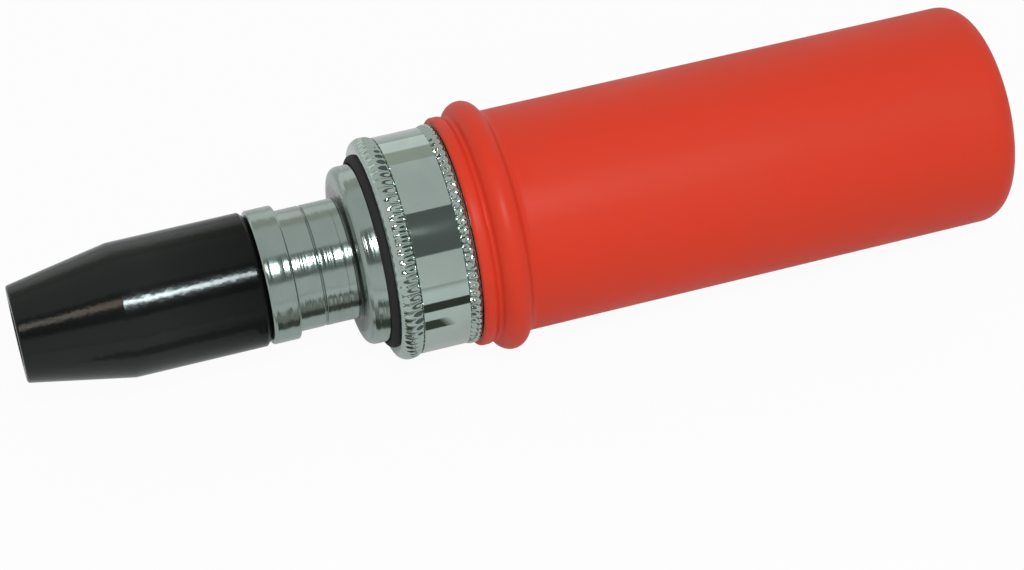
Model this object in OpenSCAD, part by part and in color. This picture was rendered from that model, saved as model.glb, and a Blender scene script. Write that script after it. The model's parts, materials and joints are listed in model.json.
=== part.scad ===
// Hand impact driver: a hammer blow on the closed end drives the handle forward over a
// sprung spindle, and a cross pin in a V window of the spindle turns the bit holder.
// Stations are measured along the tool from the tip of the bit holder, and the tool lies
// along X with its tip towards -X, resting on the bead of the grip.

/* [Bit holder] */
// Width across flats of the hex socket for bits
hex_af = 8.1; // [6.5:0.1:10]
// Depth of the hex socket
hex_depth = 15.5; // [10:0.1:22]
// Solid web between the hex socket and the square socket
web_l = 7.45; // [5:0.05:14]
// Wall outside the corners of the hex socket at the tip
tip_wall = 3.2; // [2:0.05:4]
// Wall outside the corners of the square socket
holder_wall = 1.84; // [1.2:0.02:4]
// Length of the tapered nose
taper_l = 16.8; // [10:0.1:24]
// Chamfer around the rear edge
holder_chamfer = 0.9; // [0.3:0.1:1.5]

/* [Bit retaining ring] */
// Wire of the retaining ring
ring_wire = 1.1; // [0.7:0.05:1.4]
// Distance of the ring from the tip
ring_station = 6; // [4:0.1:9]
// How far the ring reaches into the corners of the hex socket
ring_bite = 0.28; // [0.1:0.02:0.4]
// Gap in the ring, in degrees
ring_gap_angle = 40; // [20:1:90]

/* [Square drive] */
// Width of the square drive across its flats
drive_af = 12.7; // [11:0.1:16]
// Length of the square drive
drive_l = 15.2; // [12:0.1:22]
// Amount taken off each corner of the square
drive_corner_cut = 0.53; // [0.2:0.01:1.2]
// Ball that holds the bit holder on the drive
ball_d = 4; // [3:0.1:5]
// Travel of the ball into the drive
ball_travel = 0.6; // [0.3:0.05:1]

/* [Spindle] */
// Length of the shoulder behind the square drive
shoulder_l = 4.6; // [3:0.1:8]
// Diameter of the neck
neck_d = 19.9; // [14:0.1:22]
// Length of the neck
neck_l = 9.5; // [7:0.1:16]
// Distance of the fine groove behind the shoulder
neck_groove_offset = 4.1; // [2:0.1:6]
// Diameter of the flange that runs in the barrel's mouth
flange_d = 29.4; // [26:0.1:36]
// Length of the flange
flange_l = 6.1; // [4.5:0.1:9]
// Rounding of the flange's front edge
flange_round = 1.1; // [0.5:0.1:2.5]
// Length of flange that stands ahead of the seal
flange_proud = 4.1; // [2:0.1:5]
// Step from the flange down to the cam section
flange_step = 2.2; // [1.5:0.1:3]

/* [Cam] */
// Diameter of the cross pin
pin_d = 5; // [4:0.1:6.5]
// Travel of the spindle into the handle at a blow
stroke = 5; // [3:0.1:7]
// Turn of the spindle over that travel, in degrees
cam_angle = 20; // [10:1:24]
// Metal left between the V window and the flange
apex_wall = 0.65; // [0.5:0.05:2]
// Solid heel behind the V window
heel_l = 9.45; // [7:0.05:16]
// Section of the grease ring in the heel
grease_ring_d = 2; // [1.5:0.1:2.6]

/* [Barrel] */
// Wall of the barrel at its mouth
mouth_wall = 1.25; // [0.8:0.05:3]
// Height of the rib between the collar and the grip
rib_h = 2.1; // [1:0.05:3]
// Width of that rib
rib_l = 0.6; // [0.4:0.1:2]

/* [Spring] */
// Length of the main spring at rest
spring_l = 50.9; // [44:0.1:70]
// Wire of the main spring
spring_wire = 3.6; // [2.5:0.1:4]
// Coils of the main spring
spring_coils = 8; // [6:1:9]
// Thickness of the thrust washer
washer_l = 2.5; // [1.5:0.1:5]
// Thickness of the rear spring seat
seat_l = 2.5; // [1.5:0.1:5]

/* [Striking head] */
// Length of the spigot inside the barrel
spigot_l = 12; // [9:0.1:20]
// Length of the solid head behind the barrel
head_l = 13.25; // [8:0.05:24]
// Dowel that fixes the head
head_pin_d = 4; // [3:0.1:5]
// Chamfer around the head
head_chamfer = 1.5; // [0.5:0.1:3]

/* [Knurled collar] */
// Wall of the plain band
collar_wall = 1.93; // [1.2:0.01:3]
// Land of the collar behind the cross pin
collar_cover = 1.5; // [1:0.1:4]
// Height of the knurl above the band
knurl_h = 0.46; // [0.2:0.02:0.8]
// Width of the front knurl
front_knurl_l = 3.5; // [2.4:0.1:4]
// Width of the rear knurl
rear_knurl_l = 1.9; // [1:0.1:3]
// Teeth around the knurl
knurl_teeth = 72; // [60:1:110]

/* [Wiper seal] */
// Length of the seal
seal_l = 2.75; // [2:0.05:4]
// Length of the seal that stands ahead of the collar
seal_proud = 1.1; // [0.8:0.05:1.8]

/* [Grip] */
// Wall of the sleeve
grip_wall = 2.35; // [1.5:0.05:4]
// Thickness of the closed end
grip_end_l = 2.95; // [2.5:0.05:6]
// Rounding of the closed end
grip_round = 5; // [2:0.1:5.5]
// Height of the front lip above the sleeve
lip_h = 0.6; // [0.2:0.05:1.5]
// Length of the front lip
lip_l = 2.4; // [1.5:0.1:4]
// Radius of the hand bead
bead_r = 2.5; // [2:0.1:4]
// Depth of the bead's centre below the sleeve's surface
bead_sink = 0.2; // [0:0.1:1]

/* [Fits] */
// Radial clearance of pieces that run in each other
running_fit = 0.05; // [0.02:0.01:0.1]
// Radial clearance of pieces that are pressed or pinned together
close_fit = 0.02; // [0.01:0.01:0.05]
// Clearance of the square drive in its socket, on each side
drive_fit = 0.13; // [0.08:0.01:0.25]
// Clearance of the cross pin in the V window
cam_fit = 0.25; // [0.15:0.01:0.5]
// Gap between flat faces that seat on each other
seat_gap = 0.05; // [0.02:0.01:0.1]

/* [Hidden] */

// Roundness of turned faces and steps in an arc of a profile
$fn = 96;
arc_steps = 8;
// Small chamfer on turned edges
edge = 0.4;
// Reach of a cut past the face that it opens
past = 1;

// Bit holder
hex_corner_d = hex_af / cos(30);
tip_d = hex_corner_d + 2 * tip_wall;
drive_end_gap = 1;
socket_af = drive_af + 2 * drive_fit;
socket_depth = drive_l + drive_end_gap;
holder_d = socket_af * sqrt(2) + 2 * holder_wall;
holder_l = hex_depth + web_l + socket_depth;
mouth_chamfer = 0.7;
pilot_l = 1.5;
drill_point_slope = 0.6;

// Bit retaining ring in its groove
ring_r = hex_corner_d / 2 - ring_bite + ring_wire / 2;
ring_play = 0.1;
ring_groove_r = ring_r + ring_wire / 2 + ring_play;
ring_groove_l = ring_wire + 3 * ring_play;

// Spindle, with the shoulder as wide as the holder
shoulder_d = holder_d;
drive_corner_r = drive_af / sqrt(2) - drive_corner_cut;
cam_d = flange_d - 2 * flange_step;
flange_edge_r = min(flange_round, (flange_d - neck_d) / 2 - edge);
groove_w = 0.5;
groove_depth = 0.3;
spigot_pilot_d = 8;
s_shoulder = holder_l + seat_gap;
s_neck = s_shoulder + shoulder_l;
s_flange = s_neck + neck_l;
s_cam = s_flange + flange_l;
s_pin = s_cam + apex_wall + cam_fit + pin_d / 2 + stroke;
s_heel = s_pin + pin_d / 2 + cam_fit;
s_cam_end = s_heel + heel_l;
s_ring = (s_heel + s_cam_end) / 2;
grease_groove_l = grease_ring_d + 4 * running_fit;
grease_ring_r = cam_d / 2 - grease_ring_d / 2;
grease_groove_r = grease_ring_r - grease_ring_d / 2 - running_fit;

// Ball and its spring in the square drive
s_ball = s_shoulder - drive_l / 2;
ball_gap = 0.02;
ball_r_out = drive_af / 2 + drive_fit - ball_gap;
ball_centre = ball_r_out - ball_d / 2;
ball_spring_wire = 0.6;
ball_spring_coils = 4;
ball_coil_room = 1.15;
ball_spring_l = ball_spring_coils * ball_coil_room + ball_travel;
ball_seat = ball_centre - ball_d / 2 - ball_spring_l;

// Barrel and what it holds
bore_d = cam_d + 2 * running_fit;
mouth_d = flange_d + 2 * running_fit;
barrel_d = mouth_d + 2 * mouth_wall;
mouth_floor_gap = 0.4;
s_seal = s_flange + flange_proud;
s_barrel = s_seal + seal_l;
s_mouth_floor = s_cam + stroke + mouth_floor_gap;
s_collar = s_seal + seal_proud;
s_rib = s_pin + pin_d / 2 + collar_cover;
s_grip = s_rib + rib_l;
s_washer = s_cam_end + seat_gap;
s_spring = s_washer + washer_l;
s_seat = s_spring + spring_l;
s_spigot = s_seat + seat_l;
s_head = s_spigot + spigot_l;
s_head_end = s_head + head_l;
s_end = s_head_end + seat_gap + grip_end_l;
s_head_pin = (s_spigot + s_head) / 2;
spring_play = 0.6;
spring_r = bore_d / 2 - spring_play - spring_wire / 2;

// Knurled collar and seal
collar_bore_d = barrel_d + 2 * close_fit;
collar_d = collar_bore_d + 2 * collar_wall;
rear_knurl_h = knurl_h / 2;
knurl_root = 0.5;
knurl_land = 0.3;
crown_drop = 1.2;
crown_run = 1.8;
knurl_slope = 0.9;
seal_d = collar_bore_d - 2 * close_fit;
seal_bore_d = flange_d + 4 * running_fit;
seal_round = 1;

// Grip
grip_bore_d = barrel_d + 2 * running_fit;
grip_d = grip_bore_d + 2 * grip_wall;
lip_round = 0.6;
s_bead = s_grip + lip_l + bead_r;
bead_reach = sqrt(bead_r * bead_r - bead_sink * bead_sink);
bead_d = grip_d - 2 * bead_sink + 2 * bead_r;

// Whole tool: it rests on the bead, and its middle is over the origin
axis_h = bead_d / 2;
total_l = s_end;

// Points of an arc about centre c, from angle a0 to angle a1
function arc(c, r, a0, a1) =
    [for (i = [0:arc_steps]) let (a = a0 + (a1 - a0) * i / arc_steps) c + r * [cos(a), sin(a)]];

// Points of a line that runs round the corners p at distance r
function rounded_triangle(p, r) =
    [for (i = [0:2])
        let (u = p[i] - p[(i + 2) % 3], v = p[(i + 1) % 3] - p[i])
        let (a0 = atan2(u[1], u[0]) - 90, a1 = atan2(v[1], v[0]) - 90)
        each arc(p[i], r, a0, a1 < a0 ? a1 + 360 : a1)];

// Lays a piece that is made along Z on the axis of the tool
module on_axis() {
    translate([-total_l / 2, 0, axis_h]) rotate([0, 90, 0]) children();
}

// A turned piece from points of radius and station
module turned(points) {
    rotate_extrude() polygon(points);
}

// A plain ring
module ring(r_in, r_out, s0, s1) {
    turned([[r_in, s0], [r_out, s0], [r_out, s1], [r_in, s1]]);
}

// A cylinder across the axis at a station
module crosswise(d, l, s) {
    translate([0, 0, s]) rotate([0, 90, 0]) cylinder(d = d, h = l, center = true);
}

// Height of a coil spring's wire after some turns, with a closed coil at each end
function coil_height(turn, coils, closed, pitch) =
    turn < 1 ? turn * closed
    : turn < coils - 1 ? closed + (turn - 1) * pitch
    : closed + (coils - 2) * pitch + (turn - coils + 1) * closed;

// A coil spring from 0 to l, as one tube that prints its least gap to itself
module coil_spring(r, wire, l, coils, name) {
    rings = 8;
    sides = 6;
    end_gap = 0.05;
    closed_gap = 0.5;
    closed = wire + closed_gap;
    pitch = (l - wire - 2 * end_gap - 2 * closed) / (coils - 2);
    count = coils * rings;
    path = [for (i = [0:count])
        let (turn = i / rings, h = coil_height(turn, coils, closed, pitch))
        [r * cos(360 * turn), r * sin(360 * turn), wire / 2 + end_gap + h]];
    spans = [for (i = [0:count - rings + 2], j = [i + rings - 2:count]) norm(path[i] - path[j])];
    least = min(spans) - wire;
    echo(str(name, " least gap to itself ", least));
    points = [for (i = [0:count], k = [0:sides - 1])
        let (a = 360 * i / rings, b = 360 * k / sides)
        path[i] + wire / 2 * [cos(b) * cos(a), cos(b) * sin(a), sin(b)]];
    walls = [for (i = [0:count - 1], k = [0:sides - 1])
        let (k1 = (k + 1) % sides, p = i * sides, q = p + sides)
        each [[p + k, p + k1, q + k1], [p + k, q + k1, q + k]]];
    start = [for (k = [1:sides - 2]) [0, k + 1, k]];
    last = count * sides;
    finish = [for (k = [1:sides - 2]) [last, last + k, last + k + 1]];
    polyhedron(points, concat(walls, start, finish));
}

// A straight knurl between two stations, whose teeth run to a point between two radii
module knurl(r_root, r_point, s0, s1) {
    step = 180 / knurl_teeth;
    translate([0, 0, s0]) linear_extrude(height = s1 - s0)
        polygon([for (i = [0:2 * knurl_teeth - 1])
            (i % 2 == 0 ? r_point : r_root) * [cos(step * i), sin(step * i)]]);
}

// Black holder with a hex socket in its nose and a square socket behind
module bit_holder() {
    tip_r = tip_d / 2;
    r = holder_d / 2;
    hex_r = hex_corner_d / 2;
    pilot_r = hex_af / 2 - edge;
    color("#2b2b29") on_axis() difference() {
        turned([
            [0, 0], [tip_r - edge, 0], [tip_r, edge], [r, taper_l],
            [r, holder_l - holder_chamfer], [r - holder_chamfer, holder_l], [0, holder_l]
        ]);
        translate([0, 0, -past]) cylinder(r = hex_r, h = hex_depth + past, $fn = 6);
        turned([
            [0, -past], [hex_r + mouth_chamfer + past, -past],
            [hex_r - edge, mouth_chamfer + edge], [0, mouth_chamfer + edge]
        ]);
        turned([
            [0, hex_depth - edge], [pilot_r, hex_depth - edge], [pilot_r, hex_depth + pilot_l],
            [0, hex_depth + pilot_l + drill_point_slope * pilot_r]
        ]);
        ring(0, ring_groove_r, ring_station - ring_groove_l / 2, ring_station + ring_groove_l / 2);
        translate([-socket_af / 2, -socket_af / 2, holder_l - socket_depth])
            cube([socket_af, socket_af, socket_depth + past]);
    }
}

// Open wire ring in the groove of the hex socket
module bit_retaining_ring() {
    color("#8a8d90") on_axis() translate([0, 0, ring_station])
        rotate_extrude(angle = 360 - ring_gap_angle) translate([ring_r, 0])
            circle(d = ring_wire, $fn = 24);
}

// V window that the cross pin runs in: wide at the rear, with its apex one stroke ahead
module cam_window() {
    half_w = cam_d / 2 * sin(cam_angle);
    corners = [[-half_w, s_pin], [0, s_pin - stroke], [half_w, s_pin]];
    rotate([90, 0, 90])
        linear_extrude(height = cam_d + 2 * past, center = true)
            polygon(rounded_triangle(corners, pin_d / 2 + cam_fit));
}

// Square drive with its corners turned off and a chamfered front end
module square_drive() {
    s0 = s_shoulder - drive_l;
    r = drive_corner_r;
    intersection() {
        translate([-drive_af / 2, -drive_af / 2, s0]) cube([drive_af, drive_af, drive_l + past]);
        turned([
            [0, s0], [drive_af / 2, s0], [r, s0 + r - drive_af / 2],
            [r, s_shoulder + past], [0, s_shoulder + past]
        ]);
    }
}

// Chrome spindle: square drive, shoulder, neck, flange, cam section and rear pilot
module spindle() {
    sr = shoulder_d / 2;
    nr = neck_d / 2;
    fr = flange_d / 2;
    cr = cam_d / 2;
    pr = spigot_pilot_d / 2;
    s_groove = s_neck + neck_groove_offset;
    color("#c3c6c4") on_axis() difference() {
        union() {
            square_drive();
            rotate([0, 0, 90]) turned(concat(
                [
                    [0, s_shoulder], [sr - edge, s_shoulder], [sr, s_shoulder + edge],
                    [sr, s_neck - edge], [sr - edge, s_neck], [nr, s_neck],
                    [nr, s_groove], [nr - groove_depth, s_groove + groove_w / 2], [nr, s_groove + groove_w],
                    [nr, s_flange]
                ],
                arc([fr - flange_edge_r, s_flange + flange_edge_r], flange_edge_r, -90, 0),
                [
                    [fr, s_cam], [cr, s_cam],
                    [cr, s_ring - grease_groove_l / 2], [grease_groove_r, s_ring - grease_groove_l / 2],
                    [grease_groove_r, s_ring + grease_groove_l / 2], [cr, s_ring + grease_groove_l / 2],
                    [cr, s_cam_end - edge], [cr - edge, s_cam_end], [pr, s_cam_end],
                    [pr, s_washer + washer_l - edge], [0, s_washer + washer_l - edge]
                ]
            ));
        }
        rotate([0, 0, -cam_angle]) cam_window();
        translate([-ball_seat, 0, s_ball]) rotate([0, -90, 0])
            cylinder(d = ball_d + 2 * running_fit, h = drive_af);
    }
}

// Ring in the heel of the spindle
module grease_o_ring() {
    color("#1c1c1c") on_axis() translate([0, 0, s_ring])
        rotate_extrude() translate([grease_ring_r, 0]) circle(d = grease_ring_d, $fn = 32);
}

// Ball that stands out of the upper face of the square drive
module detent_ball() {
    color("#b8babc") on_axis() translate([-ball_centre, 0, s_ball]) sphere(d = ball_d, $fn = 48);
}

// Spring under the ball
module detent_spring() {
    r = ball_d / 2 - 3 * running_fit - ball_spring_wire / 2;
    color("#8a8d90") on_axis() translate([-ball_seat, 0, s_ball]) rotate([0, -90, 0])
        coil_spring(r, ball_spring_wire, ball_spring_l, ball_spring_coils, "detent spring");
}

// Washer between the turning spindle and the spring
module thrust_washer() {
    color("#9a9c9e") on_axis()
        ring(spigot_pilot_d / 2 + running_fit, cam_d / 2 - running_fit, s_washer, s_washer + washer_l);
}

// Spring that pushes the spindle out of the handle
module main_spring() {
    color("#55585a") on_axis() translate([0, 0, s_spring])
        coil_spring(spring_r, spring_wire, spring_l, spring_coils, "main spring");
}

// Washer that the spring bears on at the rear
module spring_seat() {
    color("#9a9c9e") on_axis()
        ring(spigot_pilot_d / 2, cam_d / 2, s_seat, s_spigot - seat_gap);
}

// Hardened pin across the barrel, in the V window
module cam_pin() {
    color("#77797b") on_axis() crosswise(pin_d, barrel_d - 2 * edge, s_pin);
}

// Steel tube with a stepped mouth and a rib ahead of the grip
module barrel() {
    r = barrel_d / 2;
    color("#b4b7b6") on_axis() difference() {
        turned([
            [bore_d / 2, s_mouth_floor], [mouth_d / 2, s_mouth_floor], [mouth_d / 2, s_barrel],
            [r - edge, s_barrel], [r, s_barrel + edge],
            [r, s_rib], [r + rib_h, s_rib], [r + rib_h, s_grip], [r, s_grip],
            [r, s_head - edge], [r - edge, s_head], [bore_d / 2, s_head]
        ]);
        crosswise(pin_d + 2 * close_fit, barrel_d + 2 * past, s_pin);
        crosswise(head_pin_d + 2 * close_fit, barrel_d + 2 * past, s_head_pin);
    }
}

// Plug that closes the barrel and takes the blow
module striking_head() {
    r = barrel_d / 2;
    pr = bore_d / 2 - close_fit;
    color("#77797b") on_axis() difference() {
        turned([
            [0, s_spigot], [pr - edge, s_spigot], [pr, s_spigot + edge], [pr, s_head + seat_gap],
            [r, s_head + seat_gap], [r, s_head_end - head_chamfer],
            [r - head_chamfer, s_head_end], [0, s_head_end]
        ]);
        crosswise(head_pin_d + 2 * close_fit, barrel_d, s_head_pin);
    }
}

// Dowel through the barrel and the spigot of the head
module head_pin() {
    color("#8a8d90") on_axis() crosswise(head_pin_d, barrel_d - 2 * edge, s_head_pin);
}

// Chrome band over the cross pin, knurled along both edges, with a flat land on each tooth
module knurled_collar() {
    bore = collar_bore_d / 2;
    r = collar_d / 2;
    tip = r + knurl_h;
    rear_tip = r + rear_knurl_h;
    s1 = s_collar + front_knurl_l;
    s2 = s_rib - rear_knurl_l;
    s3 = s_rib - seat_gap;
    drop = crown_drop * knurl_h;
    run = crown_run * knurl_h;
    slope = knurl_slope * knurl_h;
    color("#cdd0ce") on_axis() difference() {
        union() {
            ring(bore, r, s_collar + front_knurl_l / 2, s3);
            intersection() {
                knurl(r - knurl_root * knurl_h, tip + knurl_land * knurl_h, s_collar, s1);
                turned([
                    [0, s_collar], [r - knurl_h - drop, s_collar], [r, s_collar + drop],
                    [tip, s_collar + drop + run], [tip, s1 - slope], [r - knurl_h, s1 + slope],
                    [0, s1 + slope]
                ]);
            }
            intersection() {
                knurl(r - rear_knurl_h, rear_tip + knurl_land * rear_knurl_h, s2, s3);
                turned([
                    [0, s2 - slope], [r - rear_knurl_h, s2 - slope], [rear_tip, s2 + slope],
                    [rear_tip, s_rib - slope], [r, s_rib], [0, s_rib]
                ]);
            }
        }
        translate([0, 0, s_collar - past]) cylinder(r = bore, h = s_rib - s_collar + 2 * past);
    }
}

// Rubber ring that wipes the flange, between the barrel's mouth and the collar
module wiper_seal() {
    r = seal_d / 2;
    inner = seal_bore_d / 2;
    color("#161616") on_axis() turned(concat(
        [[inner, s_barrel - seat_gap], [inner, s_seal]],
        arc([r - seal_round, s_seal + seal_round], seal_round, -90, 0),
        [[r, s_barrel - seat_gap]]
    ));
}

// Red moulded sleeve with a front lip, a hand bead and a closed rear end
module grip_sleeve() {
    r = grip_d / 2;
    bore = grip_bore_d / 2;
    lip_r = r + lip_h;
    cavity_end = s_head_end + seat_gap;
    bead_angle = asin(bead_sink / bead_r);
    color("#d9412b") on_axis() turned(concat(
        [[bore, s_grip]],
        arc([lip_r - lip_round, s_grip + lip_round], lip_round, -90, 0),
        [[lip_r, s_grip + lip_l - lip_h], [r, s_bead - bead_reach]],
        arc([r - bead_sink, s_bead], bead_r, bead_angle - 90, 90 - bead_angle),
        arc([r - grip_round, s_end - grip_round], grip_round, 0, 90),
        [[0, s_end], [0, cavity_end], [bore - head_chamfer, cavity_end], [bore, cavity_end - head_chamfer]]
    ));
}

bit_holder();
bit_retaining_ring();
spindle();
grease_o_ring();
detent_ball();
detent_spring();
thrust_washer();
main_spring();
spring_seat();
cam_pin();
barrel();
striking_head();
head_pin();
knurled_collar();
wiper_seal();
grip_sleeve();
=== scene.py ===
"""Dresses the hand impact driver: its turned pieces, its finishes, its studio and its camera.

The pieces' sizes are in millimetres and the studio's in metres. A station is a distance along the
tool from the tip of the bit holder, and a radius is a distance from the tool's axis, which lies
along X.
"""

from __future__ import annotations

import json
import logging
import math
from dataclasses import dataclass, field
from enum import Enum
from functools import cache
from typing import Iterable

import bmesh
import bpy
from bpy.types import Material, Node, NodeSocket, NodeTree, Object
from mathutils import Matrix, Vector

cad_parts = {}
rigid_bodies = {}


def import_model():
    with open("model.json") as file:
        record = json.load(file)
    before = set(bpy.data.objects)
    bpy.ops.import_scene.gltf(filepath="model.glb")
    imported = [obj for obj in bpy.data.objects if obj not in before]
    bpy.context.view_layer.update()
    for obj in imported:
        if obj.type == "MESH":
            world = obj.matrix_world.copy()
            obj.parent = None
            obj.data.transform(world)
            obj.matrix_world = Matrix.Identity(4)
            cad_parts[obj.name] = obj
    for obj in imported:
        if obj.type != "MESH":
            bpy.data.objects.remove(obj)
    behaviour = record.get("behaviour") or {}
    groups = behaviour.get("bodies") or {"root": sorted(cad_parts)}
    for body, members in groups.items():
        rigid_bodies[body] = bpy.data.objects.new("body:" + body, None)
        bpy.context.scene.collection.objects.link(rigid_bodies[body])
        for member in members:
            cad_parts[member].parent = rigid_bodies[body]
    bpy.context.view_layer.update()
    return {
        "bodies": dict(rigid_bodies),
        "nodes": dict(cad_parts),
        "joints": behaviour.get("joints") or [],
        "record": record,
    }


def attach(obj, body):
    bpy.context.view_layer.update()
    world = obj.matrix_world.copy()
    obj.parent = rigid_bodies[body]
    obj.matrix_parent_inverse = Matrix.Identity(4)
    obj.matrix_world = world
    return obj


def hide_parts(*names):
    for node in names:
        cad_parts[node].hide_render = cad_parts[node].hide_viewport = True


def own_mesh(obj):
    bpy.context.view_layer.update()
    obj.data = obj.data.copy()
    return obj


MM = 0.001
PER_MM = 1.0 / MM
HALF_LENGTH = 82.1
AXIS_HEIGHT = 20.7
WELD = 1e-6
AXIS = Vector((1.0, 0.0, 0.0))
FRONT = Vector((0.0, -1.0, 0.0))
UP = Vector((0.0, 0.0, 1.0))
DOWN = Vector((0.0, 0.0, -1.0))
WHITE = (1.0, 1.0, 1.0, 1.0)
LOG = logging.getLogger("impact_driver")

Point = tuple[float, float]
Corner = tuple[float, ...]
Triple = tuple[float, float, float]
Colour = tuple[float, float, float, float]


class Body(Enum):
    """The moving bodies that a piece can ride on."""

    HANDLE = "handle"
    SPINDLE = "spindle"
    HOLDER = "holder"


class Slot(Enum):
    """The finishes that the parts list gives the dressed pieces."""

    BLACK_STEEL = "black_steel"
    CHROME = "chrome"
    SPRING_STEEL = "spring_steel"
    BLACK_RUBBER = "black_rubber"
    RED_RUBBER = "red_rubber"


class Element(Enum):
    """What is selected in edit mode."""

    VERTS = "VERT"
    EDGES = "EDGE"
    FACES = "FACE"


class Operation(Enum):
    """What one shape does to another."""

    CUT = "DIFFERENCE"
    JOIN = "UNION"


def along(station: float) -> float:
    """Gives the X of a station, in metres."""
    return (station - HALF_LENGTH) * MM


def on_axis(station: float, radius: float = 0.0) -> Vector:
    """Gives the point of the tool's axis at a station, or the point above it, in metres."""
    return Vector((along(station), 0.0, (AXIS_HEIGHT + radius) * MM))


def arc(centre: Point, radius: float, start: float, end: float, steps: int) -> list[Point]:
    """Gives points of an arc in the profile's plane.

    Args:
        centre: Station and radius of the arc's centre.
        radius: Radius of the arc.
        start: Angle of the first point in degrees, from the direction of rising station.
        end: Angle of the last point in degrees.
        steps: Number of chords.

    Returns:
        The points, both ends included.
    """
    angles = [math.radians(start + (end - start) * i / steps) for i in range(steps + 1)]
    return [(centre[0] + radius * math.cos(a), centre[1] + radius * math.sin(a)) for a in angles]


def rounded(corners: list[Corner], steps: int) -> list[Point]:
    """Rounds corners of a profile.

    Args:
        corners: Station and radius of each corner, and the radius of its rounding if it has one.
        steps: Number of chords in each rounding.

    Returns:
        The profile with its corners rounded.
    """
    points = [Vector(corner[:2]) for corner in corners]
    result: list[Point] = []
    for i, (here, corner) in enumerate(zip(points, corners)):
        if len(corner) == 2:
            result.append(corner)
            continue
        radius = corner[2]
        before = (points[i - 1] - here).normalized()
        after = (points[i + 1] - here).normalized()
        half = before.angle(after) / 2.0
        reach = radius / math.tan(half)
        centre = here + (before + after).normalized() * (radius / math.sin(half))
        first = here + before * reach - centre
        last = here + after * reach - centre
        sweep = first.angle_signed(last)
        for k in range(steps + 1):
            result.append(tuple(centre + Matrix.Rotation(-sweep * k / steps, 2) @ first))
    return result


def held(points: list[Point], least: float = 0.9, reach: float = 0.06) -> list[Point]:
    """Adds a point near each end of every long stretch, so that its shading stays straight.

    Args:
        points: Corners of the profile as station and radius.
        least: Length of the shortest stretch that counts as long.
        reach: Distance of the new points from the stretch's ends.

    Returns:
        The profile with the added points.
    """
    result = points[:1]
    for here, there in zip(points, points[1:]):
        length = math.dist(here, there)
        if length > least:
            share = reach / length
            for part in (share, 1.0 - share):
                result.append(tuple(a + (b - a) * part for a, b in zip(here, there)))
        result.append(there)
    return result


def clear() -> None:
    """Deselects every object."""
    bpy.ops.object.select_all(action="DESELECT")


def activate(piece: Object) -> None:
    """Makes one piece the only selected and active object.

    Args:
        piece: The piece to select.
    """
    clear()
    piece.select_set(True)
    bpy.context.view_layer.objects.active = piece


def select_all() -> None:
    """Selects the whole mesh in edit mode."""
    bpy.ops.mesh.select_all(action="SELECT")


def edit(kind: Element = Element.VERTS) -> None:
    """Enters edit mode with everything selected.

    Args:
        kind: What is selected.
    """
    bpy.ops.object.mode_set(mode="EDIT")
    bpy.ops.mesh.select_mode(type=kind.value)
    select_all()


def leave() -> None:
    """Leaves edit mode."""
    bpy.ops.object.mode_set(mode="OBJECT")


def close() -> None:
    """Turns every face outwards and leaves edit mode."""
    select_all()
    bpy.ops.mesh.normals_make_consistent(inside=False)
    leave()


def pick(piece: Object, kind: Element, wanted: Iterable[int]) -> None:
    """Selects some elements of a piece in edit mode, and nothing else.

    Args:
        piece: The piece, which is in edit mode.
        kind: What is selected.
        wanted: Places of the elements in the mesh.
    """
    bpy.ops.mesh.select_all(action="DESELECT")
    mesh = bmesh.from_edit_mesh(piece.data)
    elements = getattr(mesh, kind.name.lower())
    elements.ensure_lookup_table()
    for index in wanted:
        elements[index].select = True
    mesh.select_flush_mode()
    bmesh.update_edit_mesh(piece.data)


def turn(name: str, profile: list[Point], steps: int, closed: bool = False) -> Object:
    """Turns a piece: draws its profile by extruding a point, and spins it round the axis.

    Args:
        name: Name of the piece.
        profile: Points of the profile as station and radius.
        steps: Number of chords round the axis.
        closed: Whether the last point joins the first, as on a ring.

    Returns:
        The turned piece, with its normals outwards.
    """
    clear()
    bpy.ops.mesh.primitive_plane_add(size=MM)
    piece = bpy.context.object
    piece.name = piece.data.name = name
    edit()
    bpy.ops.mesh.merge(type="CENTER")
    select_all()
    spots = [on_axis(*point) for point in held(profile + profile[:1] if closed else profile)]
    bpy.ops.transform.translate(value=spots[0])
    for here, there in zip(spots, spots[1:]):
        bpy.ops.mesh.extrude_vertices_move(TRANSFORM_OT_translate={"value": there - here})
    select_all()
    bpy.ops.mesh.spin(steps=steps, angle=math.tau, center=on_axis(0.0), axis=AXIS)
    select_all()
    bpy.ops.mesh.remove_doubles(threshold=WELD)
    close()
    return piece


def bar(start: float, end: float, width: float, chamfer: float = 0.0) -> Object:
    """Makes a square bar along the axis with its long edges bevelled.

    Args:
        start: Station of its front end.
        end: Station of its rear end.
        width: Width across its flats.
        chamfer: Width of the bevel along each edge, or 0.

    Returns:
        The bar.
    """
    clear()
    bpy.ops.mesh.primitive_cube_add(size=1.0, location=on_axis((start + end) / 2.0))
    piece = bpy.context.object
    piece.scale = ((end - start) * MM, width * MM, width * MM)
    bpy.ops.object.transform_apply()
    if chamfer > 0.0:
        edit(Element.EDGES)
        mesh = bmesh.from_edit_mesh(piece.data)
        spans = [edge.verts[1].co - edge.verts[0].co for edge in mesh.edges]
        longways = [i for i, s in enumerate(spans) if abs(s.x) > max(abs(s.y), abs(s.z))]
        pick(piece, Element.EDGES, longways)
        bpy.ops.mesh.bevel(offset=chamfer * MM, segments=4, affect="EDGES")
        leave()
    return piece


def combine(piece: Object, tool: Object, operation: Operation = Operation.CUT) -> None:
    """Cuts a tool out of a piece or joins it on, and takes the tool away.

    Args:
        piece: The piece to change.
        tool: The shape that cuts or joins.
        operation: What the tool does.
    """
    activate(piece)
    step = piece.modifiers.new("combine", "BOOLEAN")
    step.operation = operation.value
    step.solver = "EXACT"
    step.object = tool
    bpy.ops.object.modifier_apply(modifier=step.name)
    activate(tool)
    bpy.ops.object.delete()


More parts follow.
